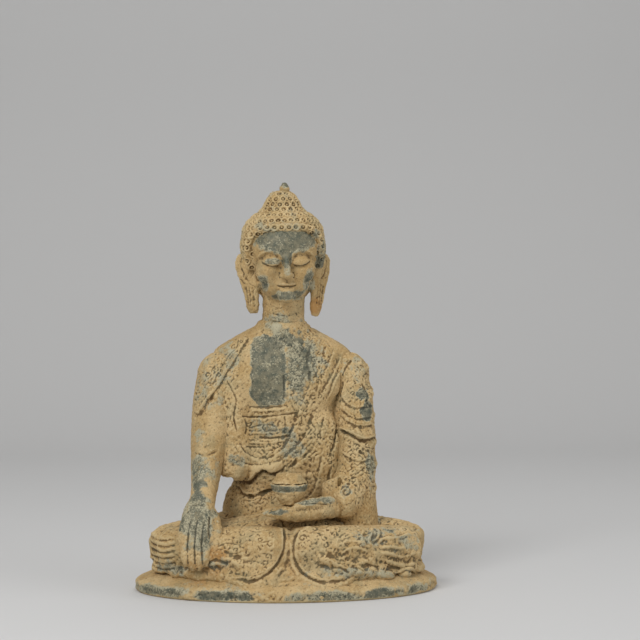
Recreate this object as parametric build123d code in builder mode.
"""Seated Buddha figure of cast bronze, touching the earth with the right hand.

The figure is built the way a foundry builds a hollow figure of this size: a thin
seat, the crossed legs, the robed torso, the head, the arms and the alms bowl are
separate castings, joined by tenons, dowels and rivets. A wooden life pole and
paper prayer rolls fill the hollow, and a copper sheet closes it underneath.

Units are millimetres. +Z is up, the figure looks along -Y, and its right hand is
on the -X side. The origin is the centre of the underside of the seat.
"""

import os

from build123d import *

os.makedirs("parts", exist_ok=True)

# ---------------------------------------------------------------- driving dimensions

# Seat: a thin oval plinth with an upright rim that rises to a low mound.
seat_width = 151.0
seat_depth = 98.0
rim_height = 5.0
mound_rise = 7.0
mound_margin_x = 11.5  # from the rim to the flat top of the mound, sideways
mound_margin_y = 9.0  # the same, front and back
foot_width = 4.0  # flat ring that the figure stands on
ledge_width = 4.0  # inside the foot, where the closing plate lands

# Crossed legs.
lap_width = 136.0
lap_depth = 81.0
lap_height = 28.0
lap_shift = (-1.0, -3.0)

# Torso, from the top of the lap to the joint in the neck.
torso_height = 94.0
torso_width = 70.0  # across the chest and the shoulder caps, without the arms
torso_depth = 41.0
torso_shift = (-1.0, 11.0)

# Head, from the joint in the neck to the top of the hair.
neck_radius = 10.6
neck_height = 9.0
head_height = 57.0
head_width = 41.6
head_depth = 42.0
head_shift = (-0.5, 7.0)
ear_height = 28.5
ear_thickness = 4.6
ear_depth = 8.5
finial_radius = 3.1
finial_height = 5.4

# Arms.
shoulder_radius = 11.5
elbow_radius = 9.5
wrist_radius = 5.6
sleeve_radius = 11.0
hand_width = 16.5
hand_thickness = 8.0
hand_length = 32.0

# Alms bowl.
bowl_radius = 8.6
bowl_height = 10.0
bowl_foot_radius = 4.4
bowl_seat = 0.26  # height of the flat under the bowl above the palm's middle, in palm thicknesses
palm_sink = 0.3  # the left hand is bedded this far into the lap
bowl_wall = 1.6
cover_height = 5.6

# Casting walls, joints and fasteners.
wall = 3.0
fit = 0.1  # radial clearance of a tenon in its socket
plate_thickness = 0.8
plate_recess = 0.4  # the closing plate sits this far above the ground
neck_tenon_radius = 8.0
neck_tenon_bore = 5.2
neck_tenon_length = 12.0
hand_tenon_radius = 3.4
hand_tenon_length = 9.0
rivet_radius = 1.2
rivet_head_radius = 2.1
rivet_head = 1.2
plate_rivet_radius = 0.8
plate_rivet_head_radius = 1.5
plate_rivet_head = 0.3
plate_rivet_length = 3.0
dowel_radius = 1.6
dowel_length = 12.0
pin_radius = 0.9
peg_radius = 1.2
peg_length = 5.0
plug_radius = 1.8

# Filling.
pole_base = 7.0  # side of the square pole at its foot
pole_tip = 4.0
pole_headroom = 3.0  # air between the pole and the roof of the head's hollow
roll_radius = 4.2
roll_bore = 0.8
roll_gap = 0.6
tall_roll_length = 72.0
short_roll_length = 27.0

# ---------------------------------------------------------------- heights and places

mound_top = rim_height + mound_rise
lap_top = mound_top + lap_height
neck_joint = lap_top + torso_height
chin = neck_joint + neck_height
crown = neck_joint + neck_height + head_height
plate_top = plate_recess + plate_thickness

shoulder_height = lap_top + 0.73 * torso_height
elbow_height = lap_top + 0.28 * torso_height
side = torso_width / 2

# ---------------------------------------------------------------- outlines of the castings

# Each row is a section of the piece: its height as a share of the piece's height,
# and its half width and half depth as shares of the piece's own.
LAP_ROWS = [
    (0.00, 0.91, 0.92),
    (0.28, 1.00, 1.00),
    (0.57, 0.98, 1.00),
    (0.82, 0.85, 0.92),
    (1.00, 0.62, 0.77),
]
TORSO_ROWS = [
    (0.00, 0.77, 0.93),
    (0.12, 0.71, 0.83),
    (0.26, 0.74, 0.85),
    (0.44, 0.83, 0.95),
    (0.62, 0.93, 1.00),
    (0.75, 1.00, 0.95),
    (0.84, 0.90, 0.83),
    (0.91, 0.60, 0.68),
    (0.96, 0.37, 0.58),
    (1.00, 0.31, 0.53),
]
HEAD_ROWS = [
    (0.00, 0.42, 0.45),
    (0.10, 0.65, 0.70),
    (0.24, 0.80, 0.88),
    (0.40, 0.90, 0.96),
    (0.54, 0.99, 1.00),
    (0.64, 1.00, 0.99),
    (0.75, 0.84, 0.86),
    (0.83, 0.60, 0.62),
    (0.92, 0.45, 0.46),
    (0.98, 0.26, 0.26),
    (1.00, 0.17, 0.17),
]
# An ear's rows give the height share, how far out it stands as a share of half the
# head's width, and its half thickness and half depth as shares of its own.
EAR_ROWS = [
    (0.00, 0.76, 0.80, 0.50),
    (0.25, 0.82, 1.00, 0.75),
    (0.70, 0.94, 1.00, 1.00),
    (1.00, 0.98, 0.70, 0.60),
]


def oval(plane, half_width, half_depth):
    """An oval section on a plane."""
    with BuildSketch(plane) as section:
        Ellipse(half_width, half_depth)
    return section.sketch


def level(height, centre):
    """A level plane at a height, with its origin at a plan position."""
    return Plane((centre[0], centre[1], height))


def stacked(rows, base, height, width, depth, centre, inset=0.0):
    """The level sections of a casting, or of its hollow when inset is its wall."""
    return [
        oval(level(base + share * height, centre), w * width / 2 - inset, d * depth / 2 - inset)
        for share, w, d in rows
    ]


def limb(stations):
    """Sections square to a limb's path; a station is its point and two half sizes."""
    points = [Vector(*place) for place, _, _ in stations]
    before = [points[0]] + points[:-1]
    after = points[1:] + [points[-1]]
    return [
        oval(Plane(here, x_dir=(1, 0, 0), z_dir=ahead - behind), half_width, half_depth)
        for here, behind, ahead, (_, half_width, half_depth) in zip(points, before, after, stations)
    ]


def evenly_around(half_width, half_depth, count, turn=0.5):
    """Plan positions at equal steps around an oval."""
    ring = Edge.make_ellipse(half_width, half_depth)
    return [ring @ ((i + turn) / count) for i in range(count)]


def fitting_around(half_width, half_depth, pitch):
    """As many plan positions at a pitch as go around an oval."""
    length = Edge.make_ellipse(half_width, half_depth).length
    return evenly_around(half_width, half_depth, int(length // pitch))


# ---------------------------------------------------------------- solid forms of the castings

with BuildPart() as lap_form:
    loft(sections=stacked(LAP_ROWS, mound_top, lap_height, lap_width, lap_depth, lap_shift))

with BuildPart() as torso_form:
    loft(sections=stacked(TORSO_ROWS, lap_top, torso_height, torso_width, torso_depth, torso_shift))

with BuildPart() as seat_form:
    with BuildSketch():
        Ellipse(seat_width / 2, seat_depth / 2)
    extrude(amount=rim_height)
    loft(
        sections=[
            oval(level(rim_height, (0, 0)), seat_width / 2, seat_depth / 2),
            oval(
                level(mound_top, (0, 0)),
                seat_width / 2 - mound_margin_x,
                seat_depth / 2 - mound_margin_y,
            ),
        ]
    )

# ---------------------------------------------------------------- seat

foot_inner = (seat_width / 2 - foot_width, seat_depth / 2 - foot_width)
ledge_inner = (foot_inner[0] - ledge_width, foot_inner[1] - ledge_width)
mound_inner = (
    seat_width / 2 - mound_margin_x - wall,
    seat_depth / 2 - mound_margin_y - wall,
)
ledge_height = plate_top + plate_rivet_length + 0.6
lap_opening = (
    LAP_ROWS[0][1] * lap_width / 2 - wall - 2 * rivet_head_radius - 3.0,
    LAP_ROWS[0][2] * lap_depth / 2 - wall - 2 * rivet_head_radius - 3.0,
)
lap_rivet_ring = (
    lap_opening[0] + rivet_head_radius + 0.8,
    lap_opening[1] + rivet_head_radius + 0.8,
)
lap_rivet_spots = [p + Vector(*lap_shift) for p in evenly_around(*lap_rivet_ring, 6)]
plate_rivet_ring = (foot_inner[0] - ledge_width / 2, foot_inner[1] - ledge_width / 2)
plate_rivet_spots = evenly_around(*plate_rivet_ring, 8)

with BuildPart() as seat:
    add(seat_form.part)
    with BuildSketch():
        Ellipse(*foot_inner)
    extrude(amount=plate_top, mode=Mode.SUBTRACT)
    with BuildSketch(Plane.XY.offset(plate_top)):
        Ellipse(*ledge_inner)
    extrude(amount=ledge_height - plate_top, mode=Mode.SUBTRACT)
    loft(
        sections=[
            oval(level(ledge_height, (0, 0)), *ledge_inner),
            oval(level(mound_top - wall, (0, 0)), *mound_inner),
        ],
        mode=Mode.SUBTRACT,
    )
    with BuildSketch(level(mound_top - wall, lap_shift)):
        Ellipse(*lap_opening)
    extrude(amount=wall, mode=Mode.SUBTRACT)
    with Locations(*[(p.X, p.Y, mound_top) for p in lap_rivet_spots]):
        Hole(rivet_radius, depth=wall)
    with BuildSketch(Plane.XY.offset(plate_top)):
        with Locations(*plate_rivet_spots):
            Circle(plate_rivet_radius)
    extrude(amount=plate_rivet_length, mode=Mode.SUBTRACT)

seat.part.label = "seat"
export_step(seat.part, "parts/seat.step")

# ---------------------------------------------------------------- crossed legs

lap_hollow = stacked(LAP_ROWS, mound_top, lap_height, lap_width, lap_depth, lap_shift, inset=wall)
lap_ceiling = lap_top - wall
waist_opening = (
    TORSO_ROWS[1][1] * torso_width / 2 - wall - 2 * rivet_head_radius - 1.4,
    TORSO_ROWS[1][2] * torso_depth / 2 - wall - 2 * rivet_head_radius - 1.4,
)
waist_rivet_ring = (
    waist_opening[0] + rivet_head_radius + 0.5,
    waist_opening[1] + rivet_head_radius + 0.5,
)
waist_rivet_spots = [p + Vector(*torso_shift) for p in evenly_around(*waist_rivet_ring, 4)]
plug_lap_x = 0.5 * lap_width / 2
plug_lap_height = mound_top + 0.45 * lap_height

with BuildPart() as lap_plug_bores:
    with Locations(
        *[
            Plane((x, lap_depth / 2, plug_lap_height), z_dir=(0, 1, 0)).location
            for x in (-plug_lap_x, plug_lap_x)
        ]
    ):
        Cylinder(plug_radius, lap_depth)

with BuildPart() as lap_inside:
    loft(sections=lap_hollow)
    with BuildSketch(Plane.XY.offset(mound_top)):
        Rectangle(2 * lap_width, 2 * lap_depth)
    extrude(amount=wall, mode=Mode.SUBTRACT)
    with BuildSketch(Plane.XY.offset(lap_ceiling)):
        Rectangle(2 * lap_width, 2 * lap_depth)
    extrude(amount=2 * wall, mode=Mode.SUBTRACT)
    with BuildSketch(level(mound_top, lap_shift)):
        Ellipse(*lap_opening)
    extrude(amount=wall)
    with BuildSketch(level(lap_ceiling, torso_shift)):
        Ellipse(*waist_opening)
    extrude(amount=wall)

with BuildPart() as lap:
    add(lap_form.part)
    add(lap_inside.part, mode=Mode.SUBTRACT)
    with BuildSketch(Plane.XY.offset(mound_top)):
        with Locations(*[(p.X, p.Y) for p in lap_rivet_spots]):
            Circle(rivet_radius)
    extrude(amount=wall, mode=Mode.SUBTRACT)
    with BuildSketch(Plane.XY.offset(lap_ceiling)):
        with Locations(*[(p.X, p.Y) for p in waist_rivet_spots]):
            Circle(rivet_radius)
    extrude(amount=wall, mode=Mode.SUBTRACT)
    add(lap_plug_bores.part, mode=Mode.SUBTRACT)

lap.part.label = "crossed_legs"
export_step(lap.part, "parts/crossed_legs.step")

# ---------------------------------------------------------------- torso

torso_hollow = stacked(
    TORSO_ROWS, lap_top, torso_height, torso_width, torso_depth, torso_shift, inset=wall
)
torso_floor = lap_top + wall
collar_bottom = neck_joint - neck_tenon_length
neck_centre = torso_shift
plug_back_heights = (lap_top + 0.38 * torso_height, lap_top + 0.66 * torso_height)

with BuildPart() as torso_plug_bores:
    with Locations(
        *[
            Plane((torso_shift[0], torso_shift[1] + torso_depth / 2, z), z_dir=(0, 1, 0)).location
            for z in plug_back_heights
        ]
    ):
        Cylinder(plug_radius, torso_depth)

with BuildPart() as shoulder_bores:
    with Locations(
        *[
            Plane(
                (torso_shift[0] + hand * side, torso_shift[1], shoulder_height), z_dir=(1, 0, 0)
            ).location
            for hand in (-1, 1)
        ]
    ):
        Cylinder(dowel_radius, dowel_length)

with BuildPart() as neck_pin_bore:
    with Locations(
        Plane(
            (neck_centre[0], neck_centre[1] + neck_tenon_bore, neck_joint - 0.5 * neck_tenon_length),
            z_dir=(0, 1, 0),
        ).location
    ):
        Cylinder(pin_radius, torso_depth, align=(Align.CENTER, Align.CENTER, Align.MIN))

with BuildPart() as torso_inside:
    loft(sections=torso_hollow)
    with BuildSketch(Plane.XY.offset(lap_top)):
        Rectangle(2 * torso_width, 4 * torso_depth)
    extrude(amount=wall, mode=Mode.SUBTRACT)
    with BuildSketch(Plane.XY.offset(collar_bottom)):
        Rectangle(2 * torso_width, 4 * torso_depth)
    extrude(amount=2 * neck_tenon_length, mode=Mode.SUBTRACT)
    with BuildSketch(level(lap_top, torso_shift)):
        Ellipse(*waist_opening)
    extrude(amount=wall)
    with BuildSketch(level(collar_bottom, neck_centre)):
        Circle(neck_tenon_radius + fit)
    extrude(amount=neck_tenon_length)

with BuildPart() as torso:
    add(torso_form.part)
    add(torso_inside.part, mode=Mode.SUBTRACT)
    with BuildSketch(Plane.XY.offset(lap_top)):
        with Locations(*[(p.X, p.Y) for p in waist_rivet_spots]):
            Circle(rivet_radius)
    extrude(amount=wall, mode=Mode.SUBTRACT)
    add(torso_plug_bores.part, mode=Mode.SUBTRACT)
    add(shoulder_bores.part, mode=Mode.SUBTRACT)
    add(neck_pin_bore.part, mode=Mode.SUBTRACT)

torso.part.label = "torso"
export_step(torso.part, "parts/torso.step")

# ---------------------------------------------------------------- head and finial

ear_top = chin + 0.46 * head_height
hollow_floor = chin + 0.10 * head_height
hollow_roof = chin + 0.72 * head_height
plug_head_height = chin + 0.45 * head_height


def ear_sections(hand):
    """Level sections of an ear, from the hanging lobe up; hand is -1 or 1."""
    return [
        oval(
            level(
                ear_top - ear_height * (1 - share),
                (head_shift[0] + hand * out * head_width / 2, head_shift[1]),
            ),
            thick * ear_thickness / 2,
            deep * ear_depth / 2,
        )
        for share, out, thick, deep in EAR_ROWS
    ]


head_hollow = stacked(
    HEAD_ROWS[:-2], chin, head_height, head_width, head_depth, head_shift, inset=wall
)

with BuildPart() as head_form:
    loft(sections=stacked(HEAD_ROWS, chin, head_height, head_width, head_depth, head_shift))
    loft(sections=ear_sections(-1))
    loft(sections=ear_sections(1))
    with BuildSketch(level(neck_joint, neck_centre)):
        Circle(neck_radius)
    extrude(amount=hollow_floor - neck_joint)

with BuildPart() as head_plug_bore:
    with Locations(
        Plane(
            (head_shift[0], head_shift[1] + head_depth / 2, plug_head_height), z_dir=(0, 1, 0)
        ).location
    ):
        Cylinder(plug_radius, head_depth / 2)

with BuildPart() as head_inside:
    loft(sections=head_hollow)
    with BuildSketch(Plane.XY.offset(chin)):
        Rectangle(2 * head_width, 2 * head_depth)
    extrude(amount=hollow_floor - chin, mode=Mode.SUBTRACT)
    with BuildSketch(Plane.XY.offset(hollow_roof)):
        Rectangle(2 * head_width, 2 * head_depth)
    extrude(amount=head_height, mode=Mode.SUBTRACT)

with BuildPart() as head:
    add(head_form.part)
    with BuildSketch(level(collar_bottom, neck_centre)):
        Circle(neck_tenon_radius)
    extrude(amount=neck_tenon_length)
    add(head_inside.part, mode=Mode.SUBTRACT)
    with BuildSketch(level(collar_bottom, neck_centre)):
        Circle(neck_tenon_bore)
    extrude(amount=hollow_floor - collar_bottom, mode=Mode.SUBTRACT)
    with BuildSketch(level(crown, head_shift)):
        Circle(peg_radius + fit)
    extrude(amount=-peg_length, mode=Mode.SUBTRACT)
    add(neck_pin_bore.part, mode=Mode.SUBTRACT)
    add(head_plug_bore.part, mode=Mode.SUBTRACT)

head.part.label = "head"
export_step(head.part, "parts/head.step")

with BuildPart() as finial:
    with BuildSketch(Plane.XZ):
        with BuildLine():
            Line((0, -peg_length), (peg_radius, -peg_length))
            Line((peg_radius, -peg_length), (peg_radius, 0))
            Line((peg_radius, 0), (0.85 * finial_radius, 0))
            Spline(
                (0.85 * finial_radius, 0),
                (finial_radius, 0.35 * finial_height),
                (0.62 * finial_radius, 0.75 * finial_height),
                (0, finial_height),
            )
            Line((0, finial_height), (0, -peg_length))
        make_face()
    revolve(axis=Axis.Z)

crown_place = Location((head_shift[0], head_shift[1], crown))
ushnisha_finial = finial.part.moved(crown_place)
ushnisha_finial.label = "ushnisha_finial"
export_step(ushnisha_finial, "parts/ushnisha_finial.step")

# ---------------------------------------------------------------- right arm and hand

hand_x = lap_shift[0] - 0.68 * lap_width / 2
hand_front = lap_shift[1] - 0.87 * lap_depth / 2
right_shoulder = Vector(torso_shift[0] - side, torso_shift[1] - 2, shoulder_height)
right_elbow = Vector(torso_shift[0] - side - 2.5, torso_shift[1] - 12, elbow_height)
fingertips = Vector(hand_x, hand_front - 0.6, mound_top + 0.2)
knuckles = Vector(hand_x + 0.3, hand_front - 0.4, mound_top + 0.52 * hand_length)
right_wrist = Vector(hand_x + 4.5, hand_front + 10.5, lap_top + 8.5)

RIGHT_ARM = [
    (right_shoulder + (1.0, 0, 6), 0.90 * shoulder_radius, 0.90 * shoulder_radius),
    (right_shoulder + (0.4, 0, -6), 0.96 * shoulder_radius, shoulder_radius),
    ((right_shoulder + right_elbow) / 2, 0.92 * shoulder_radius, shoulder_radius),
    (right_elbow, elbow_radius, elbow_radius),
    ((right_elbow + right_wrist) / 2, 0.8 * elbow_radius, 0.8 * elbow_radius),
    (right_wrist, wrist_radius, wrist_radius),
    ((right_wrist + knuckles) / 2, 0.45 * hand_width, 0.5 * hand_thickness),
    (knuckles, 0.5 * hand_width, 0.46 * hand_thickness),
    ((knuckles + fingertips) / 2, 0.42 * hand_width, 0.40 * hand_thickness),
    (fingertips, 0.28 * hand_width, 0.28 * hand_thickness),
]

with BuildPart() as right_arm:
    loft(sections=limb(RIGHT_ARM))
    with Locations(right_shoulder + (1.0, 0, 3.5)):
        Sphere(0.96 * shoulder_radius)
    add(torso_form.part, mode=Mode.SUBTRACT)
    add(lap_form.part, mode=Mode.SUBTRACT)
    add(seat_form.part, mode=Mode.SUBTRACT)
    add(shoulder_bores.part, mode=Mode.SUBTRACT)

right_arm.part.label = "right_arm"
export_step(right_arm.part, "parts/right_arm.step")

# ---------------------------------------------------------------- left sleeve, hand and alms bowl

palm_height = lap_top + hand_thickness / 2 - palm_sink
palm_top = palm_height + bowl_seat * hand_thickness
cuff = Vector(torso_shift[0] + 0.58 * side, lap_shift[1] - 0.5 * lap_depth / 2, palm_height + 0.6)
left_fingertips = cuff + Vector(-hand_length, -0.32 * hand_length, -1.5)
palm_centre = (cuff + left_fingertips) / 2 + (-4.0, 0.0, 0)
bowl_centre = (palm_centre.X, palm_centre.Y)
left_shoulder = Vector(torso_shift[0] + side - 0.5, torso_shift[1] - 2, shoulder_height)
left_elbow = Vector(
    torso_shift[0] + side - 0.5, torso_shift[1] - 11, lap_top + 0.23 * torso_height
)

LEFT_SLEEVE = [
    (left_shoulder + (-1.5, 0, 4), 0.95 * sleeve_radius, 0.95 * sleeve_radius),
    (left_shoulder + (-0.5, 0, -8), sleeve_radius, 1.04 * sleeve_radius),
    ((left_shoulder + left_elbow) / 2, sleeve_radius, 1.04 * sleeve_radius),
    (left_elbow, 0.97 * sleeve_radius, sleeve_radius),
    ((left_elbow + cuff) / 2 + (2.5, -1, 0), 0.86 * sleeve_radius, 0.86 * sleeve_radius),
    (cuff, 0.6 * sleeve_radius, 0.62 * sleeve_radius),
]
fall_drop = left_elbow.Z - lap_top
SLEEVE_FALL = [
    (left_elbow + (0, 0, 3), 0.92 * sleeve_radius, sleeve_radius),
    (left_elbow + (0, -4, -0.5 * fall_drop), 0.92 * sleeve_radius, 1.15 * sleeve_radius),
    (left_elbow + (-1, -6, -fall_drop - 4), 0.88 * sleeve_radius, 1.2 * sleeve_radius),
]
reach = (left_fingertips - cuff).normalized()
LEFT_HAND = [
    (cuff - reach * hand_tenon_length * 0.1, 0.30 * hand_width, 0.44 * hand_thickness),
    (cuff + reach * 0.3 * hand_length, 0.46 * hand_width, 0.50 * hand_thickness),
    (cuff + reach * 0.62 * hand_length, 0.44 * hand_width, 0.46 * hand_thickness),
    (left_fingertips, 0.22 * hand_width, 0.26 * hand_thickness),
]


def level_limb(stations):
    """Sections square to a nearly level limb, with their half depth standing up."""
    ahead = (stations[-1][0] - stations[0][0]).normalized()
    across = ahead.cross(Vector(0, 0, 1))
    return [
        oval(Plane(place, x_dir=across, z_dir=ahead), half_width, half_depth)
        for place, half_width, half_depth in stations
    ]


with BuildPart() as hand_tenon:
    with BuildSketch(Plane(cuff, x_dir=(0, 0, 1), z_dir=-reach)):
        Circle(hand_tenon_radius - fit)
    extrude(amount=hand_tenon_length)

with BuildPart() as hand_socket:
    with BuildSketch(Plane(cuff, x_dir=(0, 0, 1), z_dir=-reach)):
        Circle(hand_tenon_radius)
    extrude(amount=hand_tenon_length + fit)

wrist_pin_place = cuff - reach * 0.6 * hand_tenon_length

with BuildPart() as wrist_pin_bore:
    with Locations(wrist_pin_place):
        Cylinder(pin_radius, 4 * sleeve_radius)

with BuildPart() as left_hand_form:
    loft(sections=level_limb(LEFT_HAND))

with BuildPart() as sleeve_form:
    loft(sections=limb(LEFT_SLEEVE[:4]))
    loft(sections=limb(LEFT_SLEEVE[3:]))
    loft(sections=limb(SLEEVE_FALL))
    with Locations(left_shoulder + (-1.5, 0, 2)):
        Sphere(sleeve_radius)
    add(torso_form.part, mode=Mode.SUBTRACT)
    add(lap_form.part, mode=Mode.SUBTRACT)

with BuildPart() as left_sleeve:
    add(sleeve_form.part)
    add(left_hand_form.part, mode=Mode.SUBTRACT)
    add(hand_socket.part, mode=Mode.SUBTRACT)
    add(wrist_pin_bore.part, mode=Mode.SUBTRACT)
    add(shoulder_bores.part, mode=Mode.SUBTRACT)

left_sleeve.part.label = "left_sleeve"
export_step(left_sleeve.part, "parts/left_sleeve.step")

with BuildPart() as left_hand:
    add(left_hand_form.part)
    with BuildSketch(level(palm_top, bowl_centre)):
        Circle(bowl_radius)
    extrude(amount=hand_thickness, mode=Mode.SUBTRACT)
    add(hand_tenon.part)
    with BuildSketch(level(palm_top, bowl_centre)):
        Circle(peg_radius)
    extrude(amount=-0.5 * peg_length, mode=Mode.SUBTRACT)
    add(wrist_pin_bore.part, mode=Mode.SUBTRACT)
    add(lap_form.part, mode=Mode.SUBTRACT)

left_hand.part.label = "left_hand"
export_step(left_hand.part, "parts/left_hand.step")

cover_spigot = 1.5
bowl_mouth = bowl_radius - bowl_wall

with BuildPart() as bowl:
    with BuildSketch(Plane.XZ):
        with BuildLine():
            Polyline(
                (0, -0.5 * peg_length + fit),
                (peg_radius - fit, -0.5 * peg_length + fit),
                (peg_radius - fit, 0),
                (bowl_foot_radius, 0),
            )
            Spline(
                (bowl_foot_radius, 0),
                (0.9 * bowl_radius, 0.45 * bowl_height),
                (bowl_radius, bowl_height),
                tangents=((1, 0.4), (0, 1)),
            )
            Polyline(
                (bowl_radius, bowl_height),
                (bowl_mouth, bowl_height),
                (bowl_mouth, 0.6 * bowl_height),
                (0.5 * bowl_mouth, bowl_wall),
                (0, bowl_wall),
                (0, -0.5 * peg_length + fit),
            )
        make_face()
    revolve(axis=Axis.Z)

bowl_place = Location((bowl_centre[0], bowl_centre[1], palm_top))
alms_bowl = bowl.part.moved(bowl_place)
alms_bowl.label = "alms_bowl"
export_step(alms_bowl, "parts/alms_bowl.step")

with BuildPart() as cover:
    with BuildSketch(Plane.XZ):
        with BuildLine():
            Polyline(
                (0, bowl_height - cover_spigot),
                (bowl_mouth - fit, bowl_height - cover_spigot),
                (bowl_mouth - fit, bowl_height),
                (bowl_radius - 0.5, bowl_height),
            )
            Spline(
                (bowl_radius - 0.5, bowl_height),
                (0.72 * bowl_radius, bowl_height + 0.6 * cover_height),
                (0.42 * bowl_radius, bowl_height + cover_height),
                tangents=((-0.3, 1), (-1, 0.2)),
            )
            Polyline(
                (0.42 * bowl_radius, bowl_height + cover_height),
                (0, bowl_height + cover_height),
                (0, bowl_height - cover_spigot),
            )
        make_face()
    revolve(axis=Axis.Z)

bowl_cover = cover.part.moved(bowl_place)
bowl_cover.label = "alms_bowl_cover"
export_step(bowl_cover, "parts/alms_bowl_cover.step")

# ---------------------------------------------------------------- closing plate

with BuildPart() as closing_plate:
    with BuildSketch(Plane.XY.offset(plate_recess)):
        Ellipse(foot_inner[0] - fit, foot_inner[1] - fit)
        with Locations(*plate_rivet_spots):
            Circle(plate_rivet_radius, mode=Mode.SUBTRACT)
    extrude(amount=plate_thickness)

closing_plate.part.label = "closing_plate"
export_step(closing_plate.part, "parts/closing_plate.step")

with BuildPart() as plate_rivets:
    with BuildSketch(Plane.XY.offset(plate_recess - plate_rivet_head)):
        with Locations(*plate_rivet_spots):
            Circle(plate_rivet_head_radius)
    extrude(amount=plate_rivet_head)
    with BuildSketch(Plane.XY.offset(plate_recess)):
        with Locations(*plate_rivet_spots):
            Circle(plate_rivet_radius)
    extrude(amount=plate_thickness + plate_rivet_length)

plate_rivets.part.label = "plate_rivets"
export_step(plate_rivets.part, "parts/plate_rivets.step")

# ---------------------------------------------------------------- rivets, dowels, pins and plugs


def rivets(spots, bottom, grip):
    """Upright rivets with a head at each end of their grip, one at each plan position."""
    with BuildPart() as rivet:
        with BuildSketch(Plane.XY.offset(bottom - rivet_head)):
            Circle(rivet_head_radius)
        extrude(amount=rivet_head)
        with BuildSketch(Plane.XY.offset(bottom)):
            Circle(rivet_radius)
        extrude(amount=grip)
        with BuildSketch(Plane.XY.offset(bottom + grip)):
            Circle(rivet_head_radius)
        extrude(amount=rivet_head)
    return [rivet.part.moved(Location((p.X, p.Y, 0))) for p in spots]


with BuildPart() as lap_rivets:
    add(rivets(lap_rivet_spots, mound_top - wall, 2 * wall))

lap_rivets.part.label = "seat_rivets"
export_step(lap_rivets.part, "parts/seat_rivets.step")

with BuildPart() as waist_rivets:
    add(rivets(waist_rivet_spots, lap_ceiling, 2 * wall))

waist_rivets.part.label = "waist_rivets"
export_step(waist_rivets.part, "parts/waist_rivets.step")

shoulder_bores.part.label = "shoulder_dowels"
export_step(shoulder_bores.part, "parts/shoulder_dowels.step")

with BuildPart() as neck_pin:
    add(torso_form.part)
    add(neck_pin_bore.part, mode=Mode.INTERSECT)

neck_pin.part.label = "neck_pin"
export_step(neck_pin.part, "parts/neck_pin.step")

with BuildPart() as wrist_pin:
    add(sleeve_form.part)
    add(wrist_pin_bore.part, mode=Mode.INTERSECT)

wrist_pin.part.label = "wrist_pin"
export_step(wrist_pin.part, "parts/wrist_pin.step")

with BuildPart() as torso_plugs:
    add(torso_form.part)
    add(torso_inside.part, mode=Mode.SUBTRACT)
    add(torso_plug_bores.part, mode=Mode.INTERSECT)

with BuildPart() as lap_plugs:
    add(lap_form.part)
    add(lap_inside.part, mode=Mode.SUBTRACT)
    add(lap_plug_bores.part, mode=Mode.INTERSECT)

with BuildPart() as head_plug:
    add(head_form.part)
    add(head_inside.part, mode=Mode.SUBTRACT)
    add(head_plug_bore.part, mode=Mode.INTERSECT)

with BuildPart() as core_plugs:
    add(torso_plugs.part)
    add(lap_plugs.part)
    add(head_plug.part)

core_plugs.part.label = "core_plugs"
export_step(core_plugs.part, "parts/core_plugs.step")

# ---------------------------------------------------------------- filling

with BuildPart() as life_pole:
    with BuildSketch(level(plate_top, neck_centre)):
        Rectangle(pole_base, pole_base)
    with BuildSketch(level(hollow_roof - pole_headroom, neck_centre)):
        Rectangle(pole_tip, pole_tip)
    loft()

life_pole.part.label = "life_pole"
export_step(life_pole.part, "parts/life_pole.step")

tall_roll_spots = [
    Vector(neck_centre[0] + hand * (pole_base / 2 + roll_radius + 2 * roll_gap), neck_centre[1])
    for hand in (-1, 1)
]
pole_spot = Vector(*neck_centre)
roll_pitch = 2 * roll_radius + roll_gap


def clear_of_pole(spot):
    """Whether a short roll at a plan position clears the pole and the tall rolls."""
    pole_reach = 0.71 * pole_base + roll_radius + roll_gap
    if (spot - pole_spot).length < pole_reach:
        return False
    return all((spot - tall).length >= roll_pitch for tall in tall_roll_spots)


short_roll_spots = [
    spot + Vector(*lap_shift)
    for ring in range(2)
    for spot in fitting_around(
        lap_opening[0] - roll_radius - roll_gap - ring * roll_pitch,
        lap_opening[1] - roll_radius - roll_gap - ring * roll_pitch,
        roll_pitch + 0.2,
    )
    if clear_of_pole(spot + Vector(*lap_shift))
]

with BuildPart() as prayer_rolls:
    with BuildSketch(Plane.XY.offset(plate_top)):
        with Locations(*tall_roll_spots):
            Circle(roll_radius)
            Circle(roll_bore, mode=Mode.SUBTRACT)
    extrude(amount=tall_roll_length)
    with BuildSketch(Plane.XY.offset(plate_top)):
        with Locations(*short_roll_spots):
            Circle(roll_radius)
            Circle(roll_bore, mode=Mode.SUBTRACT)
    extrude(amount=short_roll_length)

prayer_rolls.part.label = "prayer_rolls"
export_step(prayer_rolls.part, "parts/prayer_rolls.step")
